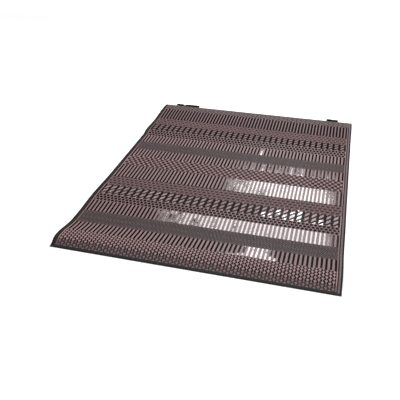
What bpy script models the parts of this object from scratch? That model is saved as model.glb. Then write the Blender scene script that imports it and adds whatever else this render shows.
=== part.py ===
# Outdoor rug of woven plastic straw, laid on a floor with its roll-memory humps
# Metres, +Z up. X runs across the width, Y along the length away from the front edge.

import math

import bmesh
import bpy
import numpy as np

# Driving sizes
RUG_WIDTH = 2.0
RUG_LENGTH = 2.7
FIELD_THICK = 0.0026
PRESSED_LOW = 0.0011
PRESSED_HIGH = 0.0024
SEAM_GAP = 0.0003

TAPE_THICK = 0.0008
TAPE_HIGH = PRESSED_HIGH + SEAM_GAP + TAPE_THICK
TAPE_BEVEL = 0.0004
SIDE_TAPE_WIDTH = 0.025
END_TAPE_WIDTH = 0.020
TAPE_BUTT_GAP = 0.0006

LOOP_RIBBON_WIDE = 0.025
LOOP_RIBBON_THICK = 0.0016
LOOP_EDGE_GAP = 0.0006
LOOP_ARC_STEPS = 9
LOOP_RUN_STEPS = 10

COLUMNS = 16
ARC_STEP = 0.004

# Humps across the rug: place of the crest, run up to it from the front, run down
# behind it and height, each at the left side and at the right side
HUMPS = (
    {"crest": (0.105, 0.175), "rise": (0.105, 0.175), "fall": (0.275, 0.300), "high": (0.034, 0.026)},
    {"crest": (0.720, 0.720), "rise": (0.280, 0.260), "fall": (0.420, 0.300), "high": (0.010, 0.003)},
    {"crest": (2.038, 2.038), "rise": (0.115, 0.115), "fall": (0.362, 0.242), "high": (0.018, 0.013)},
    {"crest": (2.600, 2.600), "rise": (0.500, 0.450), "fall": (0.280, 0.280), "high": (0.030, 0.023)},
)

# Stretches of the length, each with where it starts and the spacing of its rows
ROW_RUNS = (
    {"start": 0.0225, "step": 0.021},
    {"start": 0.480, "step": 0.060},
    {"start": 1.140, "step": 0.120},
    {"start": 1.840, "step": 0.042},
)

# Carry loops behind the far edge: start and end across the width and reach behind the edge
LOOPS = (
    {"name": "carry_loop_left", "start": 0.113, "end": 0.363, "reach": 0.046},
    {"name": "carry_loop_right", "start": 1.741, "end": 1.856, "reach": 0.040},
)


def mix(pair, across):
    share = across / RUG_WIDTH
    return pair[0] * (1.0 - share) + pair[1] * share


def lift(across, along):
    """Height of the underside over the floor, at a place on the flat cloth."""
    total = np.zeros_like(np.asarray(along, dtype=float))
    for hump in HUMPS:
        crest = mix(hump["crest"], across)
        off = along - crest
        run = np.where(off < 0.0, mix(hump["rise"], across), mix(hump["fall"], across))
        share = np.clip(np.abs(off) / run, 0.0, 1.0)
        total = total + mix(hump["high"], across) * 0.5 * (1.0 + np.cos(math.pi * share))
    return total


ARC_PLACES = np.arange(-0.02, RUG_LENGTH + 0.0401, ARC_STEP)


def plan_run(across):
    """Floor distance from the front edge for each of ARC_PLACES."""
    heights = lift(across, ARC_PLACES)
    rises = np.diff(heights) / ARC_STEP
    steps = ARC_STEP * np.sqrt(1.0 - rises * rises)
    floor = np.concatenate([[0.0], np.cumsum(steps)])
    return floor - np.interp(0.0, ARC_PLACES, floor)


def slope_at(across, along):
    small = 0.002
    return float((lift(across, along + small) - lift(across, along - small)) / (2.0 * small))


FLOOR_RUNS = {}


def cloth_point(across, along, high):
    """A point of the laid cloth: place on the flat cloth and height along its normal."""
    key = round(across, 6)
    if key not in FLOOR_RUNS:
        FLOOR_RUNS[key] = plan_run(across)
    floor = float(np.interp(along, ARC_PLACES, FLOOR_RUNS[key]))
    rise = slope_at(across, along)
    level = math.sqrt(1.0 - rise * rise)
    return (
        across - RUG_WIDTH / 2.0,
        floor - rise * high,
        float(lift(across, along)) + level * high,
    )


def far_reach():
    farthest = 0.0
    for loop in LOOPS:
        middle = (loop["start"] + loop["end"]) / 2.0
        edge = cloth_point(middle, RUG_LENGTH, 0.0)[1]
        farthest = max(farthest, edge + loop["reach"])
    return farthest


LENGTH_SHIFT = far_reach() / 2.0


def centred(point):
    return (point[0], point[1] - LENGTH_SHIFT, point[2])


def new_object(name, points, faces, material):
    mesh = bpy.data.meshes.new(name)
    mesh.from_pydata(points, [], faces)
    body = bmesh.new()
    body.from_mesh(mesh)
    bmesh.ops.triangulate(body, faces=body.faces[:])
    bmesh.ops.recalc_face_normals(body, faces=body.faces[:])
    if body.calc_volume(signed=True) < 0.0:
        bmesh.ops.reverse_faces(body, faces=body.faces[:])
    body.to_mesh(mesh)
    body.free()
    mesh.materials.append(material)
    thing = bpy.data.objects.new(name, mesh)
    bpy.context.scene.collection.objects.link(thing)
    return thing


def new_material(name, colour, roughness):
    material = bpy.data.materials.new(name)
    material.use_nodes = True
    shader = material.node_tree.nodes["Principled BSDF"]
    shader.inputs["Base Color"].default_value = (colour[0], colour[1], colour[2], 1.0)
    shader.inputs["Roughness"].default_value = roughness
    shader.inputs["Metallic"].default_value = 0.0
    return material


def field_places(length, strip, inner):
    """Places across one direction: the pressed strip at each end and the field between."""
    edge = TAPE_THICK + SEAM_GAP
    near = [edge, strip + 0.0012, strip + 0.0025]
    far = [length - place for place in reversed(near)]
    return near + inner + far


def row_places():
    inner = []
    ends = [run["start"] for run in ROW_RUNS[1:]] + [RUG_LENGTH - END_TAPE_WIDTH - 0.0025]
    for run, end in zip(ROW_RUNS, ends):
        count = max(1, round((end - run["start"]) / run["step"]))
        spacing = (end - run["start"]) / count
        inner += [run["start"] + spacing * index for index in range(count)]
    return inner[1:]


ROWS = field_places(RUG_LENGTH, END_TAPE_WIDTH, row_places())
FIELD_START = SIDE_TAPE_WIDTH + 0.0025
FIELD_RUN = RUG_WIDTH - 2.0 * FIELD_START
COLUMN_PLACES = field_places(
    RUG_WIDTH,
    SIDE_TAPE_WIDTH,
    [FIELD_START + FIELD_RUN * index / COLUMNS for index in range(1, COLUMNS)],
)


def is_pressed(across, along):
    from_side = min(across, RUG_WIDTH - across)
    from_end = min(along, RUG_LENGTH - along)
    return from_side < SIDE_TAPE_WIDTH + 0.002 or from_end < END_TAPE_WIDTH + 0.002


def build_mat(material):
    points = []
    for top in (False, True):
        for along in ROWS:
            for across in COLUMN_PLACES:
                if is_pressed(across, along):
                    high = PRESSED_HIGH if top else PRESSED_LOW
                else:
                    high = FIELD_THICK if top else 0.0
                points.append(centred(cloth_point(across, along, high)))
    wide = len(COLUMN_PLACES)
    deep = len(ROWS)
    layer = wide * deep
    faces = []
    for row in range(deep - 1):
        for column in range(wide - 1):
            corner = row * wide + column
            faces.append((corner, corner + 1, corner + 1 + wide, corner + wide))
            upper = corner + layer
            faces.append((upper, upper + wide, upper + 1 + wide, upper + 1))
    for column in range(wide - 1):
        front = column
        back = (deep - 1) * wide + column
        faces.append((front, front + layer, front + 1 + layer, front + 1))
        faces.append((back, back + 1, back + 1 + layer, back + layer))
    for row in range(deep - 1):
        left = row * wide
        right = row * wide + wide - 1
        faces.append((left, left + wide, left + wide + layer, left + layer))
        faces.append((right, right + layer, right + wide + layer, right + wide))
    return new_object("mat", points, faces, material)


def tape_profile(width):
    """Folded tape in section, from its outer fold inwards, with its height."""
    inner_low = TAPE_THICK
    inner_high = TAPE_HIGH - TAPE_THICK
    return (
        (TAPE_BEVEL, 0.0),
        (width, 0.0),
        (width, inner_low),
        (TAPE_THICK, inner_low),
        (TAPE_THICK, inner_high),
        (width, inner_high),
        (width, TAPE_HIGH),
        (TAPE_BEVEL, TAPE_HIGH),
        (0.0, TAPE_HIGH - TAPE_BEVEL),
        (0.0, TAPE_BEVEL),
    )


def swept(name, rings, closed, material):
    size = len(rings[0])
    points = [point for ring in rings for point in ring]
    faces = []
    count = len(rings)
    for index in range(count if closed else count - 1):
        here = index * size
        there = ((index + 1) % count) * size
        for corner in range(size):
            after = (corner + 1) % size
            faces.append((here + corner, here + after, there + after, there + corner))
    if not closed:
        faces.append(tuple(range(size)))
        faces.append(tuple(range((count - 1) * size, count * size)))
    return new_object(name, points, faces, material)


def build_side_tape(name, at_left, material):
    start = END_TAPE_WIDTH + TAPE_BUTT_GAP
    places = [start]
    places += [along for along in ROWS if start + 0.001 < along < RUG_LENGTH - start - 0.001]
    places.append(RUG_LENGTH - start)
    rings = []
    for along in places:
        ring = []
        for inward, high in tape_profile(SIDE_TAPE_WIDTH):
            across = inward if at_left else RUG_WIDTH - inward
            ring.append(centred(cloth_point(across, along, high)))
        rings.append(ring)
    return swept(name, rings, False, material)


def build_end_tape(name, at_front, material):
    places = [0.0] + COLUMN_PLACES + [RUG_WIDTH]
    rings = []
    for across in places:
        ring = []
        for inward, high in tape_profile(END_TAPE_WIDTH):
            along = inward if at_front else RUG_LENGTH - inward
            ring.append(centred(cloth_point(across, along, high)))
        rings.append(ring)
    return swept(name, rings, False, material)


def loop_path(loop):
    """Middle line of a carry loop on the floor: a near run, a turn, a far run, a turn."""
    half = LOOP_RIBBON_THICK / 2.0
    edge = max(
        cloth_point(across, RUG_LENGTH, high)[1]
        for across in (loop["start"], loop["end"])
        for high in (0.0, TAPE_HIGH)
    )
    near = edge + LOOP_EDGE_GAP + half
    middle = (loop["start"] + loop["end"]) / 2.0
    far = cloth_point(middle, RUG_LENGTH, 0.0)[1] + loop["reach"] - half
    radius = (far - near) / 2.0
    left = loop["start"] + half + radius
    right = loop["end"] - half - radius
    path = []
    for index in range(LOOP_RUN_STEPS):
        path.append((left + (right - left) * index / LOOP_RUN_STEPS, near))
    for index in range(LOOP_ARC_STEPS):
        angle = -math.pi / 2.0 + math.pi * index / LOOP_ARC_STEPS
        path.append((right + radius * math.cos(angle), near + radius + radius * math.sin(angle)))
    for index in range(LOOP_RUN_STEPS):
        path.append((right - (right - left) * index / LOOP_RUN_STEPS, far))
    for index in range(LOOP_ARC_STEPS):
        angle = math.pi / 2.0 + math.pi * index / LOOP_ARC_STEPS
        path.append((left + radius * math.cos(angle), near + radius + radius * math.sin(angle)))
    return path


def build_loop(loop, material):
    path = loop_path(loop)
    count = len(path)
    rings = []
    for index, (across, floor) in enumerate(path):
        before = path[index - 1]
        after = path[(index + 1) % count]
        run = math.hypot(after[0] - before[0], after[1] - before[1])
        side = ((after[1] - before[1]) / run, -(after[0] - before[0]) / run)
        half = LOOP_RIBBON_THICK / 2.0
        ring = []
        for outward, high in ((-half, 0.0), (half, 0.0), (half, LOOP_RIBBON_WIDE), (-half, LOOP_RIBBON_WIDE)):
            spot = (across + side[0] * outward - RUG_WIDTH / 2.0, floor + side[1] * outward, high)
            ring.append(centred(spot))
        rings.append(ring)
    return swept(loop["name"], rings, True, material)


def clear_scene():
    for thing in list(bpy.data.objects):
        bpy.data.objects.remove(thing, do_unlink=True)


def main():
    clear_scene()
    straw = new_material("straw_weave", (0.125, 0.092, 0.090), 0.45)
    tape = new_material("edge_tape", (0.110, 0.095, 0.100), 0.70)
    webbing = new_material("loop_webbing", (0.010, 0.014, 0.013), 0.75)
    build_mat(straw)
    build_side_tape("binding_left", True, tape)
    build_side_tape("binding_right", False, tape)
    build_end_tape("binding_front", True, tape)
    build_end_tape("binding_far", False, tape)
    for loop in LOOPS:
        build_loop(loop, webbing)


main()
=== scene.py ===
# Outdoor rug woven from flat plastic straw, laid on a pale studio floor
# The frame's parts come from model.glb: their bounds set where the rug lies along its length, and the parts
# that the rug's pieces replace are hidden

import math
import random

import bpy
import numpy as np
from bpy.props import FloatProperty, FloatVectorProperty, IntProperty, PointerProperty, StringProperty
from bpy.types import Operator, Panel, PropertyGroup
from mathutils import Matrix, Vector


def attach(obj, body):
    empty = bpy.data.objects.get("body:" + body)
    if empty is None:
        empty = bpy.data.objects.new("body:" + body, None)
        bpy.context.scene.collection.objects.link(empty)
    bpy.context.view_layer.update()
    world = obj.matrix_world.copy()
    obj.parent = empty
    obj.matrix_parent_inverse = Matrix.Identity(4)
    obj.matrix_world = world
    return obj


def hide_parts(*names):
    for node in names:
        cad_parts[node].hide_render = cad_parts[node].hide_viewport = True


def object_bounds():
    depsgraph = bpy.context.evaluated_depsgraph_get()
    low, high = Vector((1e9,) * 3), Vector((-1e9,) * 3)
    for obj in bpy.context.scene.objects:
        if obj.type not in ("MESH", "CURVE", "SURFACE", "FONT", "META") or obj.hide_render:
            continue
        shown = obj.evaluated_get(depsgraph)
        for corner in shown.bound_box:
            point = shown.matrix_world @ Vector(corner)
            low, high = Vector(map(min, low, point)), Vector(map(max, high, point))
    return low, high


bl_info = {
    "name": "Woven Straw Rug",
    "version": (1, 0, 0),
    "blender": (4, 5, 0),
    "location": "3D View > Sidebar > Rug",
    "description": "Weaves an outdoor rug of flat plastic straw over its laid sheet",
    "category": "Object",
}

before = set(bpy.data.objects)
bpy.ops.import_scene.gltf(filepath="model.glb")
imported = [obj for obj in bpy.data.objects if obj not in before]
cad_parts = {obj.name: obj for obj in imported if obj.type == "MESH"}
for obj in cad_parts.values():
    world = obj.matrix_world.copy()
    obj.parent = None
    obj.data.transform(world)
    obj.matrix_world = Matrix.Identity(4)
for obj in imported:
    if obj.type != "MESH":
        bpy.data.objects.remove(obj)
CAD_LOW, CAD_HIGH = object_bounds()

# Humps that the roll left across the rug: place of the crest along the cloth, run up
# to it from the front, run down behind it and height, each at the left and right side
HUMPS = (
    {"crest": (0.105, 0.175), "rise": (0.105, 0.175), "fall": (0.275, 0.300), "high": (0.034, 0.026)},
    {"crest": (0.720, 0.720), "rise": (0.280, 0.260), "fall": (0.420, 0.300), "high": (0.010, 0.003)},
    {"crest": (2.038, 2.038), "rise": (0.115, 0.115), "fall": (0.362, 0.242), "high": (0.018, 0.013)},
    {"crest": (2.600, 2.600), "rise": (0.500, 0.450), "fall": (0.280, 0.280), "high": (0.030, 0.023)},
)

# Bands of the weave from the front end to the far one, each with where it ends; the straws
# of a stripe lean alike, and unlike the next stripe, by up to the uneven value
BANDS = (
    # The first band is the dots in darker rose, painted shade on the front roll
    {"weave": "dots_near", "end": 0.078},
    {"weave": "dots", "end": 0.210},
    {"weave": "stripe", "end": 0.351, "uneven": 0.7},
    {"weave": "plain", "end": 0.510},
    {"weave": "stripe", "end": 0.656, "uneven": 0.9},
    {"weave": "rows", "end": 0.760},
    {"weave": "braid", "end": 0.920},
    {"weave": "fine", "end": 1.075},
    {"weave": "stripe", "end": 1.287, "uneven": 0.35},
    {"weave": "dots_mid", "end": 1.478},
    {"weave": "stripe", "end": 1.618, "uneven": 0.7},
    {"weave": "plain", "end": 1.778},
    {"weave": "stripe", "end": 1.923, "uneven": 0.4},
    {"weave": "rows", "end": 2.028},
    {"weave": "braid_far", "end": 2.188},
    {"weave": "fine", "end": 2.342},
    {"weave": "stripe_far", "end": 2.555},
    {"weave": "dots_far", "end": 2.700},
)

# Weaver's charts, one row of straws a line with the far row first: # is black, . is rose
DOTS_CHART = (
    "...###.###..",
    "..####.####.",
    ".###.....###",
    ".####...####",
)

BRAID_CHART = (
    "######........",
    "######......##",
    "######.....###",
    "#####....#####",
    "#####..######.",
    "###########...",
    "##########....",
    "#######.......",
)

CHARTS = {
    "stripe": ("####....",),
    # The far stripe has one more black square in eight, painted shade toward the far end
    "stripe_far": ("#####...",),
    "dots_near": DOTS_CHART,
    "dots": DOTS_CHART,
    "dots_mid": (
        "...#######..",
        "...#######..",
        "#.##.##.##.#",
        "#.##.##.##.#",
        "####.....###",
        "####.....###",
        "#.##.##.##.#",
        "#.##.##.##.#",
    ),
    "dots_far": (
        "...#######..",
        "..#######...",
        "#.##.##.##.#",
        "####.....###",
        "#####.....##",
        "#.##.##.##.#",
    ),
    "plain": (
        "####.##.",
        "##.####.",
        "##.##.##",
        ".####.##",
        ".##.####",
        "###..#.#",
        "#.####.#",
        "#.##.#.#",
    ),
    "rows": (
        "######..",
        "######..",
        "######..",
        "..#...#.",
        "##..####",
        "##..####",
        "##..####",
        "..#...#.",
    ),
    "braid": BRAID_CHART,
    "braid_far": BRAID_CHART,
    "fine": (
        "#######..#",
        "######...#",
        ".#.#...#..",
        "#...#.#..#",
        ".#.#..#.#.",
        "##..######",
        "#...######",
        "..#...#.#.",
        ".#..##...#",
        ".#.#..#.#.",
    ),
}

# Where straws lie off the level: from and to across, from and to along, and lean, in the
# unit of the random lean and up to the front where positive
LEANS = (
    {"left": 1.195, "right": 1.225, "near": 1.778, "far": 1.923, "lean": -1.7},
    {"left": 1.560, "right": 2.000, "near": 0.210, "far": 0.351, "lean": 3.5},
    {"left": 0.900, "right": 2.000, "near": 2.342, "far": 2.420, "lean": 2.0},
    {"left": 0.000, "right": 1.365, "near": 0.760, "far": 0.920, "lean": 5.0},
)

# Carry loops of webbing behind the far edge, standing on edge on the floor; the run away
# from the rug leans back by these degrees at these shares of its length from the left
LOOPS = (
    {
        "name": "carry_loop_left",
        "start": 0.113,
        "end": 0.363,
        "reach": 0.046,
        "wide": 0.025,
        "thick": 0.0016,
        "lean_at": (0.0, 0.12, 0.22, 0.27, 0.34, 0.39, 0.70, 1.0),
        "lean": (55.0, 12.0, 0.0, 78.0, 78.0, 0.0, 22.0, 52.0),
    },
    {
        "name": "carry_loop_right",
        "start": 1.741,
        "end": 1.856,
        "reach": 0.040,
        "wide": 0.025,
        "thick": 0.0016,
        "lean_at": (0.0, 0.22, 0.36, 0.50, 0.80, 1.0),
        "lean": (20.0, 0.0, 42.0, 54.0, 50.0, 56.0),
    },
)

# The softbox stands behind the rug and is cut to the shape that the straws mirror; a low
# card in front of it gives the spot on the front roll. Corners across and above the floor
SOFTBOXES = (
    {
        "name": "softbox",
        "back": 4.633,
        "outline": (
            (1.00, 2.68), (1.11, 4.75), (-1.75, 4.75), (-2.50, 4.50), (-2.50, 4.46),
            (-1.75, 4.10), (-0.60, 3.50), (-0.15, 3.35), (-0.15, 3.02), (-0.98, 2.96),
            (-0.98, 2.90), (-0.62, 2.72), (-0.42, 2.58), (0.60, 2.58), (0.70, 2.68),
        ),
    },
    {
        "name": "low_card",
        "back": 2.033,
        "outline": ((0.215, 1.08), (0.215, 1.40), (-0.055, 1.40), (-0.055, 1.08)),
    },
)

# How finely the run over the humps is worked out: step along the cloth, strips across it,
# margins before the front end and beyond the far one, and reach of a slope to each side
CLOTH_STEP = 0.004
CLOTH_COLUMNS = 16
CLOTH_BEFORE = 0.02
CLOTH_BEYOND = 0.0401
SLOPE_STEP = 0.002

# The sheet's edge inside the tapes, its underside and top where they press it, and how far
# beside them the pressed part ends, is told from the rest, and the full thickness begins
SHEET_EDGE = 0.0011
PRESSED_LOW = 0.0011
PRESSED_HIGH = 0.0024
PRESSED_OUT = 0.0012
PRESSED_WITHIN = 0.002
FULL_OUT = 0.0025

# Straws: gap at the tapes, gap at the foot, depth sunk in the sheet, bevels and their greatest
# share of the straw, and what a full unit of lean and of unevenness does to the top
TAPE_GAP = 0.0005
FOOT_GAP = 0.00015
SUNK = 0.0003
SIDE_BEVEL = 0.0009
END_BEVEL = 0.0011
BEVEL_SHARE = 0.3
LEAN_TILT = 0.00006
UNEVEN_TOP = 0.10

# The selvedge from the left tape inward, and how near an end of the rug a row closes it
SELVEDGE = "##.."
CLOSING = 0.03

# In a stripe with an uneven value, each straw keeps this share of its own random lean
OWN_LEAN = 0.5

# The lozenges of the near braid lean together, by this much from least to most
LOZENGE_LEAN = (-0.5, 7.0)

# The folded tape: thickness of a layer, underside of the upper one, top, and gap at corners
TAPE_LAYER = 0.0008
TAPE_UPPER = 0.0027
TAPE_TOP = 0.0035
TAPE_BUTT = 0.0006

# Distance between the tape and a loop, and points along the loop's straight runs and ends
LOOP_GAP = 0.0006
LOOP_RUN = 60
LOOP_TURN = 16
WEBBING_STEPS = 24

# Spacing of the points along the cloth and across it
ALONG_STEP = 0.018
ACROSS_STEP = 0.05

# The studio floor lies just under the rug
FLOOR_HALF = 40.0
FLOOR_LEVEL = -0.0005


class RugSizes(PropertyGroup):
    """Sizes of the rug and its straw"""

    width: FloatProperty(name="Width", description="Across the rug", default=2.0, unit="LENGTH")
    length: FloatProperty(name="Length", description="Along the flat cloth", default=2.7, unit="LENGTH")
    thickness: FloatProperty(
        name="Thickness", description="Of the woven sheet", default=0.0026, unit="LENGTH"
    )
    side_tape: FloatProperty(
        name="Side tape", description="Width of the tape on a long side", default=0.025, unit="LENGTH"
    )
    end_tape: FloatProperty(
        name="End tape", description="Width of the tape on an end", default=0.020, unit="LENGTH"
    )
    straw_pitch: FloatProperty(
        name="Straw pitch", description="One chart square across the rug", default=0.00389, unit="LENGTH"
    )
    row_pitch: FloatProperty(
        name="Row pitch", description="One chart row along the rug", default=0.0078, unit="LENGTH"
    )
    crown: FloatProperty(
        name="Crown", description="Height of a straw over the sheet", default=0.0009, unit="LENGTH"
    )
    seed: IntProperty(name="Seed", description="Seed for the small unevenness of the straws", default=7)


class RugColours(PropertyGroup):
    """Colours of the rug's materials, as sRGB hex"""

    rose: StringProperty(name="Rose straw", description="The light straw", default="#826466")
    # The rose straw made a little lighter where it lies level, as painted light
    rose_level_lit: StringProperty(
        name="Rose level, painted light", description="The light straw, a little lighter where it lies level as painted light", default="#8a6f70"
    )
    # The rose straw made lighter where it floats, as a painted highlight
    rose_float_highlight: StringProperty(
        name="Rose float, painted highlight",
        description="The light straw, lighter where it floats as painted highlight",
        default="#b6999b",
    )
    # The rose straw made lighter in the dots, as a painted highlight
    rose_full_highlight: StringProperty(
        name="Rose full, painted highlight", description="The light straw, lighter in the dots as painted highlight", default="#a68486"
    )
    # The rose straw made darker toward the far end, as painted shade
    rose_far_shade: StringProperty(
        name="Rose far, painted shade", description="The light straw, darker toward the far end as painted shade", default="#84696c"
    )
    black: StringProperty(name="Black straw", description="The dark straw", default="#0d1110")
    # The black straw made lighter, as painted sheen
    black_sheen: StringProperty(
        name="Black, painted sheen", description="The dark straw, lighter as painted sheen", default="#2a2e2c"
    )
    # The sheet between the straws in a dark mauve, painted shade in the gaps
    ground_shaded: StringProperty(name="Ground, painted shade", description="Sheet seen between the straws, darker as painted shade", default="#1c1818")
    tape: StringProperty(name="Tape", description="Inner part of the edge tape", default="#5c5255")
    # The grey-rose tape made darker on the left and front edges, as painted shade
    tape_shaded: StringProperty(
        name="Tape, painted shade", description="Inner part of the left and front tapes, darker as painted shade", default="#2c2528"
    )
    tape_fold: StringProperty(
        name="Tape fold", description="Outer fold of the edge tape", default="#0c0f10"
    )
    webbing: StringProperty(name="Webbing", description="Carry loops", default="#0f1412")
    floor: StringProperty(name="Floor", description="Studio floor", default="#f4f4f4")


class RugStage(PropertyGroup):
    """Camera and lights"""

    camera_place: FloatVectorProperty(
        name="Camera place",
        description="Where the camera stands",
        default=(0.7854, -4.0196, 2.2607),
        subtype="TRANSLATION",
        unit="LENGTH",
    )
    camera_turn: FloatProperty(
        name="Camera turn",
        description="To the left of +Y",
        default=math.radians(14.69),
        subtype="ANGLE",
    )
    camera_dip: FloatProperty(
        name="Camera dip",
        description="Below the horizon",
        default=math.radians(31.82),
        subtype="ANGLE",
    )
    camera_roll: FloatProperty(
        name="Camera roll",
        description="About its line of sight",
        default=math.radians(-0.19),
        subtype="ANGLE",
    )
    lens: FloatProperty(name="Lens", description="Focal length on a 36 mm sensor, in mm", default=48.25)
    overhead: FloatProperty(name="Overhead", description="Strength of the soft overhead light", default=3.2)
    overhead_back: FloatProperty(
        name="Overhead back",
        description="Its lean to the back",
        default=math.radians(8.0),
        subtype="ANGLE",
    )
    overhead_angle: FloatProperty(
        name="Overhead angle",
        description="How wide it is, seen from the rug",
        default=math.radians(50.0),
        subtype="ANGLE",
    )
    air: FloatProperty(name="Air", description="Strength of the light from all round", default=0.10)
    window: FloatProperty(name="Window", description="Radiance of the softbox behind", default=20.0)


def linear(code):
    """An sRGB hex colour as linear red, green, blue and alpha."""
    parts = [int(code[index : index + 2], 16) / 255.0 for index in (1, 3, 5)]
    out = [part / 12.92 if part <= 0.04045 else ((part + 0.055) / 1.055) ** 2.4 for part in parts]
    return (out[0], out[1], out[2], 1.0)


def add_node(tree, kind, inputs=None, **settings):
    """Adds a node with its settings, and its inputs as values or as sockets to link."""
    node = tree.nodes.new(kind)
    for key, value in settings.items():
        setattr(node, key, value)
    for key, value in (inputs or {}).items():
        if isinstance(value, bpy.types.NodeSocket):
            tree.links.new(value, node.inputs[key])
        else:
            node.inputs[key].default_value = value
    return node


def new_material(name):
    """An empty material with its output node."""
    material = bpy.data.materials.new(name)
    material.use_nodes = True
    tree = material.node_tree
    tree.nodes.clear()
    return material, tree, add_node(tree, "ShaderNodeOutputMaterial")


def shades(tree, factor, dark, light):
    """A colour that runs from dark to light with the factor."""
    ramp = add_node(tree, "ShaderNodeValToRGB", {"Fac": factor})
    ramp.color_ramp.elements[0].position = 0.30
    ramp.color_ramp.elements[0].color = dark
    ramp.color_ramp.elements[1].position = 0.70
    ramp.color_ramp.elements[1].color = light
    return ramp.outputs["Color"]


def tinted(colour, amount):
    """A linear colour made lighter or darker."""
    return tuple(min(1.0, part * amount) for part in colour[:3]) + (1.0,)


def extruded_straw(name, code, roughness, shine):
    """Polypropylene straw, extruded and rolled flat: smooth, with faint lengthwise draw lines."""
    material, tree, output = new_material(name)
    place = add_node(tree, "ShaderNodeTexCoord").outputs["Object"]
    # Draw lines run along the straw: about 1.5 mm apart across it and 60 mm long
    stretched = add_node(
        tree, "ShaderNodeMapping", {"Vector": place, "Scale": (16.0, 650.0, 650.0)}
    ).outputs["Vector"]
    lines = add_node(
        tree, "ShaderNodeTexNoise", {"Vector": stretched, "Scale": 1.0, "Detail": 2.0}
    ).outputs["Fac"]
    colour = linear(code)
    shade = shades(tree, lines, tinted(colour, 0.84), tinted(colour, 1.14))
    shader = add_node(
        tree,
        "ShaderNodeBsdfPrincipled",
        {"Base Color": shade, "Roughness": roughness, "IOR": 1.49, "Specular IOR Level": shine},
    )
    tree.links.new(shader.outputs["BSDF"], output.inputs["Surface"])
    return material


def woven_ground(name, dark, light):
    """Polypropylene weave seen between the straws: matt, in squares of the two colours."""
    material, tree, output = new_material(name)
    place = add_node(tree, "ShaderNodeTexCoord").outputs["Object"]
    sized = add_node(
        tree, "ShaderNodeMapping", {"Vector": place, "Scale": (1.0, 0.5, 1.0)}
    ).outputs["Vector"]
    # Squares 3.9 mm across the rug and 7.8 mm along it, as the straws cross
    squares = add_node(
        tree,
        "ShaderNodeTexChecker",
        {"Vector": sized, "Scale": 1.0 / 0.00389, "Color1": linear(dark), "Color2": linear(light)},
    )
    bump = add_node(
        tree, "ShaderNodeBump", {"Height": squares.outputs["Fac"], "Strength": 0.4, "Distance": 0.0004}
    )
    shader = add_node(
        tree,
        "ShaderNodeBsdfPrincipled",
        {
            "Base Color": squares.outputs["Color"],
            "Roughness": 0.6,
            "IOR": 1.49,
            "Normal": bump.outputs["Normal"],
        },
    )
    tree.links.new(shader.outputs["BSDF"], output.inputs["Surface"])
    return material


def woven_tape(name, code, roughness, shine):
    """Polyester tape, woven narrow and matt: fine ribs across it."""
    material, tree, output = new_material(name)
    place = add_node(tree, "ShaderNodeTexCoord").outputs["Object"]
    # Ribs 2 mm apart, twice as coarse as real ones so that they show
    ribs = add_node(
        tree,
        "ShaderNodeTexWave",
        {"Vector": place, "Scale": 1.0 / 0.002 / 20.0, "Distortion": 0.6, "Detail": 1.0},
        bands_direction="DIAGONAL",
    ).outputs["Fac"]
    # The colour is darker in the rib grooves and lighter on their crests, painted shade and light on the
    # ribs
    colour = linear(code)
    shade = shades(tree, ribs, tinted(colour, 0.80), tinted(colour, 1.15))
    bump = add_node(tree, "ShaderNodeBump", {"Height": ribs, "Strength": 0.5, "Distance": 0.0003})
    shader = add_node(
        tree,
        "ShaderNodeBsdfPrincipled",
        {
            "Base Color": shade,
            "Roughness": roughness,
            "IOR": 1.5,
            "Specular IOR Level": shine,
            "Normal": bump.outputs["Normal"],
        },
    )
    tree.links.new(shader.outputs["BSDF"], output.inputs["Surface"])
    return material


class Cloth:
    """The laid cloth: turns a place on the flat cloth and a height over its underside into space."""

    def __init__(self, sizes):
        self.width = sizes.width
        self.length = sizes.length
        self.step = CLOTH_STEP
        self.places = np.arange(-CLOTH_BEFORE, self.length + CLOTH_BEYOND, self.step)
        runs = []
        for across in np.linspace(0.0, self.width, CLOTH_COLUMNS + 1):
            rises = np.diff(self.lift(across, self.places)) / self.step
            floor = np.concatenate([[0.0], np.cumsum(self.step * np.sqrt(1.0 - rises * rises))])
            runs.append(floor - np.interp(0.0, self.places, floor))
        self.runs = np.array(runs)
        self.shift = CAD_HIGH.y

    def mix(self, pair, across):
        """A value between those of the left and right sides."""
        share = across / self.width
        return pair[0] * (1.0 - share) + pair[1] * share

    def lift(self, across, along):
        """Height of the cloth's underside over the floor."""
        along = np.asarray(along, dtype=float)
        total = np.zeros(np.broadcast(across, along).shape)
        for hump in HUMPS:
            off = along - self.mix(hump["crest"], across)
            run = np.where(off < 0.0, self.mix(hump["rise"], across), self.mix(hump["fall"], across))
            share = np.clip(np.abs(off) / run, 0.0, 1.0)
            total = total + self.mix(hump["high"], across) * 0.5 * (1.0 + np.cos(math.pi * share))
        return total

    def floor_run(self, across, along):
        """Distance along the floor from the front end to a place on the cloth."""
        column = np.clip(across / self.width * CLOTH_COLUMNS, 0.0, CLOTH_COLUMNS - 0.0001)
        left = column.astype(int)
        share = column - left
        row = np.clip((along - self.places[0]) / self.step, 0.0, len(self.places) - 1.001)
        low = row.astype(int)
        part = row - low
        near = self.runs[left, low] * (1.0 - part) + self.runs[left, low + 1] * part
        far = self.runs[left + 1, low] * (1.0 - part) + self.runs[left + 1, low + 1] * part
        return near * (1.0 - share) + far * share

    def points(self, across, along, high):
        """Points in space for places on the cloth and heights over its underside."""
        across, along, high = np.broadcast_arrays(
            np.asarray(across, float), np.asarray(along, float), np.asarray(high, float)
        )
        ahead = self.lift(across, along + SLOPE_STEP)
        rise = (ahead - self.lift(across, along - SLOPE_STEP)) / (2.0 * SLOPE_STEP)
        level = np.sqrt(1.0 - rise * rise)
        return np.stack(
            [
                across - self.width / 2.0,
                self.floor_run(across, along) - rise * high - self.shift,
                self.lift(across, along) + level * high,
            ],
            axis=-1,
        )


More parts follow.
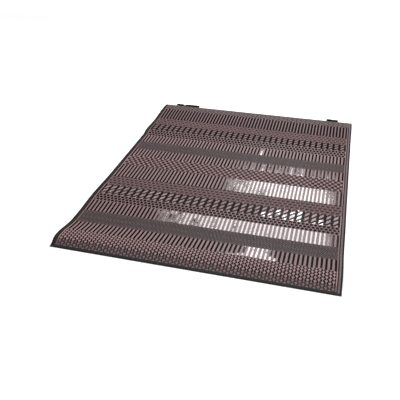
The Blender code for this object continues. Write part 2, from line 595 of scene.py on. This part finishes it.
def mesh_object(name, points, faces, materials, smooth=False, slots=None):
    """An object on the rug's body from points and faces, with a material slot for each face."""
    mesh = bpy.data.meshes.new(name)
    mesh.from_pydata([tuple(point) for point in points], [], faces)
    for material in materials:
        mesh.materials.append(material)
    if slots is not None:
        mesh.polygons.foreach_set("material_index", slots)
    mesh.polygons.foreach_set("use_smooth", [smooth] * len(mesh.polygons))
    mesh.update()
    thing = bpy.data.objects.new(name, mesh)
    bpy.context.scene.collection.objects.link(thing)
    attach(thing, "root")
    return thing


def quads_object(name, corners, quads, material):
    """A mesh from arrays of points and quads, made in one go because it is large."""
    mesh = bpy.data.meshes.new(name)
    mesh.vertices.add(len(corners))
    mesh.vertices.foreach_set("co", corners.astype(np.float32).ravel())
    mesh.loops.add(quads.size)
    mesh.loops.foreach_set("vertex_index", quads.astype(np.int32).ravel())
    mesh.polygons.add(len(quads))
    mesh.polygons.foreach_set("loop_start", np.arange(0, quads.size, 4, dtype=np.int32))
    mesh.polygons.foreach_set("loop_total", np.full(len(quads), 4, dtype=np.int32))
    mesh.materials.append(material)
    mesh.update(calc_edges=True)
    mesh.validate()
    mesh.polygons.foreach_set("use_smooth", [False] * len(mesh.polygons))
    thing = bpy.data.objects.new(name, mesh)
    bpy.context.scene.collection.objects.link(thing)
    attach(thing, "root")
    return thing


def spread(start, end, step):
    """Even places from start to end, about a step apart."""
    count = max(1, round((end - start) / step))
    return [start + (end - start) * index / count for index in range(count + 1)]


class RUG_OT_lay_sheet(Operator):
    """Lays the woven sheet that carries the straws"""

    bl_idname = "rug.lay_sheet"
    bl_label = "Lay the sheet"

    def lines(self, size, tape, step):
        """Places from edge to edge, with the step up beside the tapes at both ends."""
        places = [SHEET_EDGE, tape + PRESSED_OUT, tape + FULL_OUT]
        places += spread(tape + FULL_OUT, size - tape - FULL_OUT, step)[1:-1]
        places += [size - tape - FULL_OUT, size - tape - PRESSED_OUT, size - SHEET_EDGE]
        return places

    def execute(self, context):
        sizes = context.scene.rug_sizes
        colours = context.scene.rug_colours
        cloth = Cloth(sizes)
        side = sizes.side_tape
        end = sizes.end_tape
        columns = self.lines(sizes.width, side, ACROSS_STEP)
        rows = self.lines(sizes.length, end, ALONG_STEP)
        across, along = np.meshgrid(np.array(columns), np.array(rows))
        from_side = np.minimum(across, sizes.width - across)
        from_end = np.minimum(along, sizes.length - along)
        pressed = (from_side < side + PRESSED_WITHIN) | (from_end < end + PRESSED_WITHIN)
        under = np.where(pressed, PRESSED_LOW, 0.0)
        over = np.where(pressed, PRESSED_HIGH, sizes.thickness)
        low = cloth.points(across, along, under).reshape(-1, 3)
        high = cloth.points(across, along, over).reshape(-1, 3)
        wide = len(columns)
        deep = len(rows)
        layer = wide * deep
        faces = []
        slots = []
        for row in range(deep - 1):
            for column in range(wide - 1):
                corner = row * wide + column
                faces.append((corner, corner + wide, corner + wide + 1, corner + 1))
                slots.append(1)
                upper = corner + layer
                faces.append((upper, upper + 1, upper + wide + 1, upper + wide))
                slots.append(0)
        for column in range(wide - 1):
            front = column
            back = (deep - 1) * wide + column
            faces.append((front, front + 1, front + 1 + layer, front + layer))
            faces.append((back + 1, back, back + layer, back + 1 + layer))
            slots += [0, 0]
        for row in range(deep - 1):
            left = row * wide
            right = left + wide - 1
            faces.append((left + wide, left, left + layer, left + wide + layer))
            faces.append((right, right + wide, right + wide + layer, right + layer))
            slots += [0, 0]
        # The top of the sheet shows a dark mauve in place of the rose, painted shade between the straws;
        # the reverse has the straws' own colours
        ground_shaded = woven_ground("polypropylene weave, ground", colours.ground_shaded, colours.black)
        reverse = woven_ground("polypropylene weave, reverse", colours.black, colours.rose)
        sheet = mesh_object(
            "woven_sheet", np.concatenate([low, high]), faces, [ground_shaded, reverse], True, slots
        )
        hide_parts("mat")
        return {"FINISHED"}


def steered_lean(lean, band, begin, lozenge, middle, along):
    """A straw's lean, with what its stripe, lozenge or patch of the rug adds to it."""
    if "uneven" in band:
        stripe = random.Random(round(band["end"] * 1000.0) * 1000 + begin)
        lean = OWN_LEAN * lean + band["uneven"] * stripe.uniform(-1.0, 1.0)
    if band["weave"] == "braid":
        lean += random.Random(lozenge).uniform(*LOZENGE_LEAN)
    for patch in LEANS:
        inside = patch["left"] < middle < patch["right"]
        if inside and patch["near"] <= along < patch["far"]:
            lean += patch["lean"]
    return lean


def straw_runs(sizes, wanted, rng):
    """Every run of same-coloured squares in the bands of one weave, as arrays for each colour."""
    first = sizes.side_tape + TAPE_GAP
    cells = int((sizes.width - 2.0 * first) / sizes.straw_pitch)
    pitch = (sizes.width - 2.0 * first) / cells
    runs = {"#": [], ".": []}
    start = 0.0
    for band in BANDS:
        low, high = start, band["end"]
        start = band["end"]
        if band["weave"] != wanted:
            continue
        low = max(low, sizes.end_tape + TAPE_GAP)
        high = min(high, sizes.length - sizes.end_tape - TAPE_GAP)
        chart = CHARTS[wanted]
        count = round((high - low) / sizes.row_pitch)
        deep = (high - low) / count
        wide = len(chart[0])
        # A stripe of black ends at the right selvedge
        phase = (cells - 2 * len(SELVEDGE)) % wide
        for row in range(count):
            line = chart[-1 - row % len(chart)]
            squares = [line[(cell - phase) % wide] for cell in range(cells)]
            # Two black warps beside the tape, then two rose ones
            squares[: len(SELVEDGE)] = list(SELVEDGE)
            squares[-len(SELVEDGE) :] = list(SELVEDGE[::-1])
            # One row of black straws closes the dots at each end
            front = low < CLOSING and row == 0
            if front or (high > sizes.length - CLOSING and row == count - 1):
                squares = ["#"] * cells
            begin = 0
            for cell in range(1, cells + 1):
                if cell == cells or squares[cell] != squares[begin]:
                    near = low + row * deep
                    middle = first + (begin + cell) * 0.5 * pitch
                    # The rows of one lozenge share a number, and so lean together
                    lozenge = 10000 + row // len(chart) * 1000 + (begin - phase) // wide
                    lean = steered_lean(rng.uniform(-1.0, 1.0), band, begin, lozenge, middle, near)
                    runs[squares[begin]].append(
                        (
                            first + begin * pitch,
                            first + cell * pitch,
                            near,
                            low + (row + 1) * deep,
                            lean,
                            rng.uniform(-1.0, 1.0),
                        )
                    )
                    begin = cell
    return {colour: np.array(found) for colour, found in runs.items() if found}


def straw_mesh(cloth, runs, sizes):
    """A flattened straw over each run: sunk foot, bevelled shoulders and flat top."""
    left, right, near, far, lean, lump = runs.T
    top_side = np.minimum(SIDE_BEVEL, (right - left) * BEVEL_SHARE)
    top_end = np.minimum(END_BEVEL, (far - near) * BEVEL_SHARE)
    base = sizes.thickness - SUNK
    height = sizes.thickness + sizes.crown * (1.0 + UNEVEN_TOP * lump)
    tilt = LEAN_TILT * lean
    corners = []
    for across, along, high in (
        (left + FOOT_GAP, near + FOOT_GAP, base),
        (right - FOOT_GAP, near + FOOT_GAP, base),
        (right - FOOT_GAP, far - FOOT_GAP, base),
        (left + FOOT_GAP, far - FOOT_GAP, base),
        (left + top_side, near + top_end, height + tilt),
        (right - top_side, near + top_end, height + tilt),
        (right - top_side, far - top_end, height - tilt),
        (left + top_side, far - top_end, height - tilt),
    ):
        corners.append(cloth.points(across, along, high))
    stacked = np.stack(corners, axis=1).reshape(-1, 3)
    pattern = np.array([[4, 5, 6, 7], [0, 1, 5, 4], [1, 2, 6, 5], [2, 3, 7, 6], [3, 0, 4, 7]])
    offsets = (np.arange(len(runs)) * 8)[:, None, None]
    return stacked, (pattern[None, :, :] + offsets).reshape(-1, 4)


class RUG_OT_weave_bands(Operator):
    """Weaves the straws of every band from its chart"""

    bl_idname = "rug.weave_bands"
    bl_label = "Weave the bands"

    def execute(self, context):
        sizes = context.scene.rug_sizes
        colours = context.scene.rug_colours
        cloth = Cloth(sizes)
        # A floating straw lies level and is glossy; at close crossings it is bent and looks matt. The
        # colours also differ as painted light: the level rose is a little lighter, the floating rose and
        # the full rose are lighter as painted highlight, the lighter black is painted sheen, and the far
        # rose is darker as painted shade
        straws = {
            key: extruded_straw(f"extruded polypropylene, {words}", code, roughness, shine)
            for key, words, code, roughness, shine in (
                ("black_float", "black, floating", colours.black, 0.09, 0.5),
                ("black_tight", "black, tight", colours.black, 0.62, 0.10),
                ("rose_float_highlight", "rose, floating, painted highlight", colours.rose_float_highlight, 0.09, 0.5),
                ("rose_tight", "rose, tight", colours.rose, 0.62, 0.10),
                ("rose_level_lit", "rose, level, painted light", colours.rose_level_lit, 0.50, 0.18),
                ("black_sheen", "black, painted sheen", colours.black_sheen, 0.62, 0.10),
                ("black_deep", "black, deep", colours.black, 0.40, 0.05),
                ("rose_full_highlight", "rose, full, painted highlight", colours.rose_full_highlight, 0.55, 0.15),
                ("black_far", "black, far", colours.black, 0.5, 0.015),
                ("rose_far_shade", "rose, far, painted shade", colours.rose_far_shade, 0.55, 0.10),
            )
        }
        for weave, black, rose in (
            ("stripe", "black_float", "rose_level_lit"),
            # The front band's rose is darker, painted shade on the front roll, and its black is the lighter
            # black of painted sheen
            ("dots_near", "black_sheen", "rose_tight"),
            ("dots", "black_tight", "rose_full_highlight"),
            ("dots_mid", "black_far", "rose_full_highlight"),
            ("plain", "black_sheen", "rose_tight"),
            ("rows", "black_far", "rose_level_lit"),
            ("braid", "black_deep", "rose_float_highlight"),
            # The far bands take the darker far rose, painted shade toward the far end
            ("stripe_far", "black_far", "rose_far_shade"),
            ("dots_far", "black_sheen", "rose_far_shade"),
            ("braid_far", "black_far", "rose_far_shade"),
            ("fine", "black_tight", "rose_tight"),
        ):
            rng = random.Random(sizes.seed + len(weave))
            runs = straw_runs(sizes, weave, rng)
            looks = (("#", straws[black], "black"), (".", straws[rose], "rose"))
            for colour, material, word in looks:
                corners, quads = straw_mesh(cloth, runs[colour], sizes)
                thing = quads_object(f"{weave}_straws_{word}", corners, quads, material)
        return {"FINISHED"}


def tape_section(width):
    """Folded tape in section: distance in from the fold, height and part of the tape."""
    top = TAPE_TOP
    return (
        (width, 0.0, 1),
        (width, TAPE_LAYER, 1),
        (0.0009, TAPE_LAYER, 0),
        (0.0009, TAPE_UPPER, 0),
        (width, TAPE_UPPER, 1),
        (width, top - 0.0002, 1),
        (width - 0.0005, top, 1),
        (width * 0.5 + 0.0006, top, 1),
        (width * 0.5, top - 0.0002, 0),
        (width * 0.5 - 0.0006, top, 0),
        (0.0010, top, 0),
        (0.0003, top - 0.0006, 0),
        (0.0, top * 0.5, 0),
        (0.0003, 0.0006, 0),
        (0.0010, 0.0, 0),
    )


def webbing_section(thick, wide):
    """Flat webbing on its edge, round once: a thick cord at each edge and ribs between."""
    half = thick / 2.0
    steps = range(WEBBING_STEPS + 1)
    heights = [wide * step / WEBBING_STEPS for step in steps]
    swell = [half * (0.80 if step % 2 else 0.55) for step in steps]
    swell[1] = swell[-2] = half
    swell[0] = swell[-1] = half * 0.5
    back = [(-out, high) for out, high in zip(swell, heights)]
    front = [(out, high) for out, high in zip(swell, heights)]
    return back + front[::-1]


def sweep(rings, closed=False):
    """Points and faces of a tube through the rings, capped unless it is closed."""
    size = len(rings[0])
    points = [point for ring in rings for point in ring]
    faces = []
    for index in range(len(rings) if closed else len(rings) - 1):
        here = index * size
        there = ((index + 1) % len(rings)) * size
        for corner in range(size):
            after = (corner + 1) % size
            faces.append((here + corner, there + corner, there + after, here + after))
    if not closed:
        faces.append(tuple(range(size)))
        faces.append(tuple(range(len(rings) * size - 1, (len(rings) - 1) * size - 1, -1)))
    return points, faces


class RUG_OT_sew_tapes(Operator):
    """Folds the edge tape over the four edges"""

    bl_idname = "rug.sew_tapes"
    bl_label = "Sew the edge tapes"

    def tape(self, cloth, sizes, name, flange, fold):
        """One tape: its section carried along an edge of the cloth."""
        side = name in ("binding_left", "binding_right")
        width = sizes.side_tape if side else sizes.end_tape
        section = tape_section(width)
        if side:
            butt = sizes.end_tape + TAPE_BUTT
            places = spread(butt, sizes.length - butt, ALONG_STEP)
        else:
            places = spread(0.0, sizes.width, ACROSS_STEP)
        inward = np.array([part[0] for part in section])
        high = np.array([part[1] for part in section])
        rings = []
        for place in places:
            if side:
                across = inward if name == "binding_left" else sizes.width - inward
                rings.append(cloth.points(across, np.full_like(inward, place), high))
            else:
                along = inward if name == "binding_front" else sizes.length - inward
                rings.append(cloth.points(np.full_like(inward, place), along, high))
        points, faces = sweep(rings)
        if name in ("binding_left", "binding_far"):
            faces = [face[::-1] for face in faces]
        # Slot 0 is the outer fold, slot 1 the inner flange and the two caps
        slots = [entry[2] for entry in section] * (len(rings) - 1) + [1, 1]
        thing = mesh_object(
            name.replace("binding", "edge_tape"), points, faces, [fold, flange], False, slots
        )
        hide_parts(name)

    def execute(self, context):
        sizes = context.scene.rug_sizes
        colours = context.scene.rug_colours
        cloth = Cloth(sizes)
        flange = woven_tape("polyester tape, woven, grey-rose", colours.tape, 0.75, 0.4)
        # The left and front tapes take a darker grey-rose, painted shade on those edges
        flange_shaded = woven_tape("polyester tape, woven, grey-rose, painted shade", colours.tape_shaded, 0.75, 0.1)
        fold = woven_tape("polyester tape, woven, black", colours.tape_fold, 0.65, 0.08)
        for name, inner in (
            ("binding_left", flange_shaded),
            ("binding_right", flange),
            ("binding_front", flange_shaded),
            ("binding_far", flange),
        ):
            self.tape(cloth, sizes, name, inner, fold)
        return {"FINISHED"}


def loop_line(cloth, loop):
    """Points along a carry loop: place across, place on the floor, outward side and lean."""
    half = loop["thick"] / 2.0
    ends = (loop["start"], loop["end"])
    edge = max(cloth.points(across, cloth.length, TAPE_TOP)[1] for across in ends)
    near = edge + LOOP_GAP + half
    middle = (loop["start"] + loop["end"]) / 2.0
    far = cloth.points(middle, cloth.length, 0.0)[1] + loop["reach"] - half
    radius = (far - near) / 2.0
    left = loop["start"] + half + radius
    right = loop["end"] - half - radius
    shares = np.linspace(0.0, 1.0, LOOP_RUN + 1)[:-1]
    quarter = math.pi / 2.0
    line = []
    for share in shares:
        line.append((left + (right - left) * share, near, 0.0, -1.0))
    for turn in np.linspace(-quarter, quarter, LOOP_TURN + 1)[:-1]:
        out, back = math.cos(turn), math.sin(turn)
        line.append((right + radius * out, near + radius + radius * back, out, back))
    for share in shares:
        line.append((right - (right - left) * share, far, 0.0, 1.0))
    for turn in np.linspace(quarter, math.pi * 1.5, LOOP_TURN + 1)[:-1]:
        out, back = math.cos(turn), math.sin(turn)
        line.append((left + radius * out, near + radius + radius * back, out, back))
    return line


class RUG_OT_sew_loops(Operator):
    """Makes the webbing carry loops behind the far edge"""

    bl_idname = "rug.sew_loops"
    bl_label = "Sew the carry loops"

    def execute(self, context):
        colours = context.scene.rug_colours
        cloth = Cloth(context.scene.rug_sizes)
        webbing = woven_tape("polypropylene webbing, woven, black", colours.webbing, 0.7, 0.15)
        for loop in LOOPS:
            rings = []
            for across, floor, side_x, side_y in loop_line(cloth, loop):
                share = (across - loop["start"]) / (loop["end"] - loop["start"])
                # Only the run away from the rug leans
                lean = np.interp(share, loop["lean_at"], loop["lean"]) if side_y > 0.0 else 0.0
                lean = math.radians(float(lean)) * max(0.0, side_y)
                level, slope = math.cos(lean), math.sin(lean)
                ring = []
                for outward, high in webbing_section(loop["thick"], loop["wide"]):
                    away = outward * level + high * slope
                    up = high * level - outward * slope + loop["thick"] * 0.5 * slope
                    ring.append((across + side_x * away - cloth.width / 2.0, floor + side_y * away, up))
                rings.append(ring)
            points, faces = sweep(rings, True)
            thing = mesh_object(loop["name"] + "_webbing", points, faces, [webbing])
            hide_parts(loop["name"])
        return {"FINISHED"}


class RUG_OT_set_stage(Operator):
    """Puts down the floor and sets the lights and the camera"""

    bl_idname = "rug.set_stage"
    bl_label = "Set the stage"

    def execute(self, context):
        scene = context.scene
        stage = scene.rug_stage
        colours = scene.rug_colours
        material, tree, output = new_material("painted board, pale, matt")
        shader = add_node(
            tree, "ShaderNodeBsdfPrincipled", {"Base Color": linear(colours.floor), "Roughness": 0.9}
        )
        tree.links.new(shader.outputs["BSDF"], output.inputs["Surface"])
        mesh = bpy.data.meshes.new("studio_floor")
        corners = [
            (across * FLOOR_HALF, along * FLOOR_HALF, FLOOR_LEVEL)
            for across, along in ((-1.0, -1.0), (1.0, -1.0), (1.0, 1.0), (-1.0, 1.0))
        ]
        mesh.from_pydata(corners, [], [(0, 1, 2, 3)])
        mesh.materials.append(material)
        floor = bpy.data.objects.new("studio_floor", mesh)
        scene.collection.objects.link(floor)

        world = bpy.data.worlds.new("studio_air")
        world.use_nodes = True
        background = world.node_tree.nodes["Background"]
        background.inputs["Color"].default_value = (1.0, 1.0, 1.0, 1.0)
        background.inputs["Strength"].default_value = stage.air
        scene.world = world

        overhead = bpy.data.lights.new("overhead", "SUN")
        overhead.energy = stage.overhead
        overhead.angle = stage.overhead_angle
        lamp = bpy.data.objects.new("overhead", overhead)
        # From a little behind the rug, so that slopes which face the camera are slightly darker
        lamp.rotation_euler = (-stage.overhead_back, 0.0, 0.0)
        scene.collection.objects.link(lamp)

        glow, tree, output = new_material("lit diffuser")
        emission = add_node(
            tree, "ShaderNodeEmission", {"Color": (1.0, 1.0, 1.0, 1.0), "Strength": stage.window}
        )
        tree.links.new(emission.outputs["Emission"], output.inputs["Surface"])
        for card in SOFTBOXES:
            mesh = bpy.data.meshes.new(card["name"])
            corners = [(across, card["back"], high) for across, high in card["outline"]]
            mesh.from_pydata(corners, [], [tuple(range(len(corners)))])
            mesh.materials.append(glow)
            box = bpy.data.objects.new(card["name"], mesh)
            box.visible_camera = False
            scene.collection.objects.link(box)

        data = bpy.data.cameras.new("camera")
        data.sensor_width = 36.0
        data.lens = stage.lens
        data.clip_end = 200.0
        camera = bpy.data.objects.new("camera", data)
        turn = Matrix.Rotation(stage.camera_turn, 4, "Z")
        dip = Matrix.Rotation(math.radians(90.0) - stage.camera_dip, 4, "X")
        roll = Matrix.Rotation(-stage.camera_roll, 4, "Z")
        camera.matrix_world = Matrix.Translation(Vector(stage.camera_place)) @ turn @ dip @ roll
        scene.collection.objects.link(camera)
        scene.camera = camera
        scene.view_settings.view_transform = "Standard"
        return {"FINISHED"}


class RUG_PT_panel(Panel):
    """Lists the rug's sizes, colours and steps"""

    bl_idname = "RUG_PT_panel"
    bl_label = "Woven rug"
    bl_space_type = "VIEW_3D"
    bl_region_type = "UI"
    bl_category = "Rug"

    def draw(self, context):
        layout = self.layout
        for group in (context.scene.rug_sizes, context.scene.rug_colours, context.scene.rug_stage):
            column = layout.column(align=True)
            for key in group.__annotations__:
                column.prop(group, key)
        for step in STEPS:
            layout.operator(step.bl_idname)


STEPS = (RUG_OT_lay_sheet, RUG_OT_weave_bands, RUG_OT_sew_tapes, RUG_OT_sew_loops, RUG_OT_set_stage)
CLASSES = (RugSizes, RugColours, RugStage) + STEPS + (RUG_PT_panel,)


def register():
    """Registers the classes and the scene's three groups."""
    for item in CLASSES:
        bpy.utils.register_class(item)
    bpy.types.Scene.rug_sizes = PointerProperty(type=RugSizes)
    bpy.types.Scene.rug_colours = PointerProperty(type=RugColours)
    bpy.types.Scene.rug_stage = PointerProperty(type=RugStage)


def unregister():
    """Takes them out again."""
    del bpy.types.Scene.rug_stage
    del bpy.types.Scene.rug_colours
    del bpy.types.Scene.rug_sizes
    for item in reversed(CLASSES):
        bpy.utils.unregister_class(item)


def main():
    register()
    bpy.ops.rug.lay_sheet()
    bpy.ops.rug.weave_bands()
    bpy.ops.rug.sew_tapes()
    bpy.ops.rug.sew_loops()
    bpy.ops.rug.set_stage()


if __name__ == "__main__":
    main()
